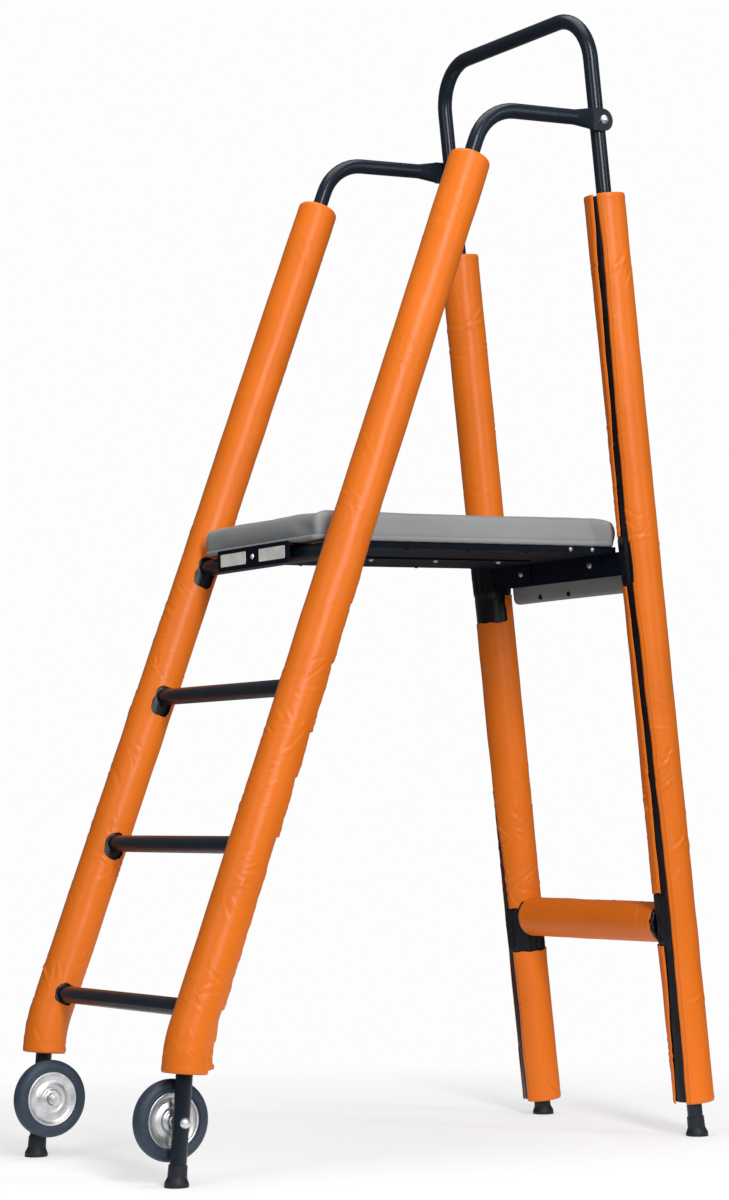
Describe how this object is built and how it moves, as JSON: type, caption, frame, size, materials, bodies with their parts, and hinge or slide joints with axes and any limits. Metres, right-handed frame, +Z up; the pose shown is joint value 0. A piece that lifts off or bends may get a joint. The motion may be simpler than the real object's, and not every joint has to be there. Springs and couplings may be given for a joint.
{
  "type": "folding platform step ladder",
  "caption": "Folding step ladder with padded legs, a hinged cushioned platform, a guard rail and small wheels.",
  "frame": {"origin": "on the floor, at the middle of the object's bounding box, with the ladder open and locked", "axes": "+Z up; +Y from the climbing side towards the rear legs; +X to the climber's right"},
  "size_m": [0.562, 1.1448, 1.9983],
  "materials": {
    "tube_paint": "gloss powder coat, blue-black",
    "orange_vinyl": "vinyl-coated fabric, satin, slightly wrinkled",
    "black_foam": "closed-cell foam, matte, with fine pores",
    "grey_vinyl": "grey upholstery vinyl, fine grain, satin",
    "tyre_rubber": "slate-blue moulded rubber, satin",
    "zinc": "bright zinc plate",
    "black_rubber": "moulded rubber, satin",
    "pan_steel": "satin powder coat on folded sheet",
    "nylon": "natural nylon",
    "blank_label": "blank off-white plate",
    "plywood": "plywood, unfinished"
  },
  "bodies": {
    "front_frame": {"rail_left": "tube_paint", "rail_right": "tube_paint", "rung_1": "tube_paint", "rung_2": "tube_paint", "rung_3": "tube_paint", "platform_rung": "tube_paint", "foam_front_left": "black_foam", "foam_front_right": "black_foam", "sleeve_front_left": "orange_vinyl", "sleeve_front_right": "orange_vinyl", "foot_front_left": "black_rubber", "foot_front_right": "black_rubber", "axle_spacer_left": "zinc", "axle_spacer_right": "zinc", "axle_bolt_left": "zinc", "axle_bolt_right": "zinc", "axle_nuts": "zinc"},
    "wheel_left": {"tyre_left": "tyre_rubber", "hub_left": "zinc", "wheel_bush_left": "nylon"},
    "wheel_right": {"tyre_right": "tyre_rubber", "hub_right": "zinc", "wheel_bush_right": "nylon"},
    "rear_frame": {"rear_tube": "tube_paint", "lower_crossbar": "tube_paint", "foam_crossbar": "black_foam", "sleeve_crossbar": "orange_vinyl", "foam_rear_left": "black_foam", "foam_rear_right": "black_foam", "sleeve_rear_left": "orange_vinyl", "sleeve_rear_right": "orange_vinyl", "foot_rear_left": "black_rubber", "foot_rear_right": "black_rubber", "pivot_bolt_left": "zinc", "pivot_bolt_right": "zinc", "pivot_nuts": "zinc", "pivot_washers": "zinc", "cross_plate": "tube_paint", "hinge_leaf_left": "pan_steel", "hinge_leaf_right": "pan_steel", "hinge_pin_left": "zinc", "hinge_pin_right": "zinc", "plate_bolts": "zinc", "bumper_pad": "grey_vinyl", "bumper_board": "plywood", "bumper_brackets": "pan_steel"},
    "platform": {"deck_pan": "pan_steel", "deck_strap": "pan_steel", "strap_bolts": "zinc", "deck_screws": "pan_steel", "deck_side_bolts": "zinc", "front_hook": "pan_steel", "face_plate": "pan_steel", "face_bolt": "zinc", "blank_plates": "blank_label", "platform_cushion": "grey_vinyl", "cushion_board": "plywood", "deck_arm_left": "pan_steel", "deck_arm_right": "pan_steel"}
  },
  "joints": [
    {"name": "rear_fold", "type": "hinge", "parent": "front_frame", "child": "rear_frame", "pos_m": [0, 0.35852, 1.78896], "axis": [-1, 0, 0], "range_deg": [0, 27]},
    {"name": "platform_lift", "type": "hinge", "parent": "rear_frame", "child": "platform", "pos_m": [0, 0.41392, 1.03331], "axis": [-1, 0, 0], "range_deg": [0, 85]},
    {"name": "wheel_left_spin", "type": "hinge", "parent": "front_frame", "child": "wheel_left", "pos_m": [-0.211, -0.5074, 0.099], "axis": [1, 0, 0], "continuous": true},
    {"name": "wheel_right_spin", "type": "hinge", "parent": "front_frame", "child": "wheel_right", "pos_m": [0.211, -0.5074, 0.099], "axis": [1, 0, 0], "continuous": true}
  ]
}
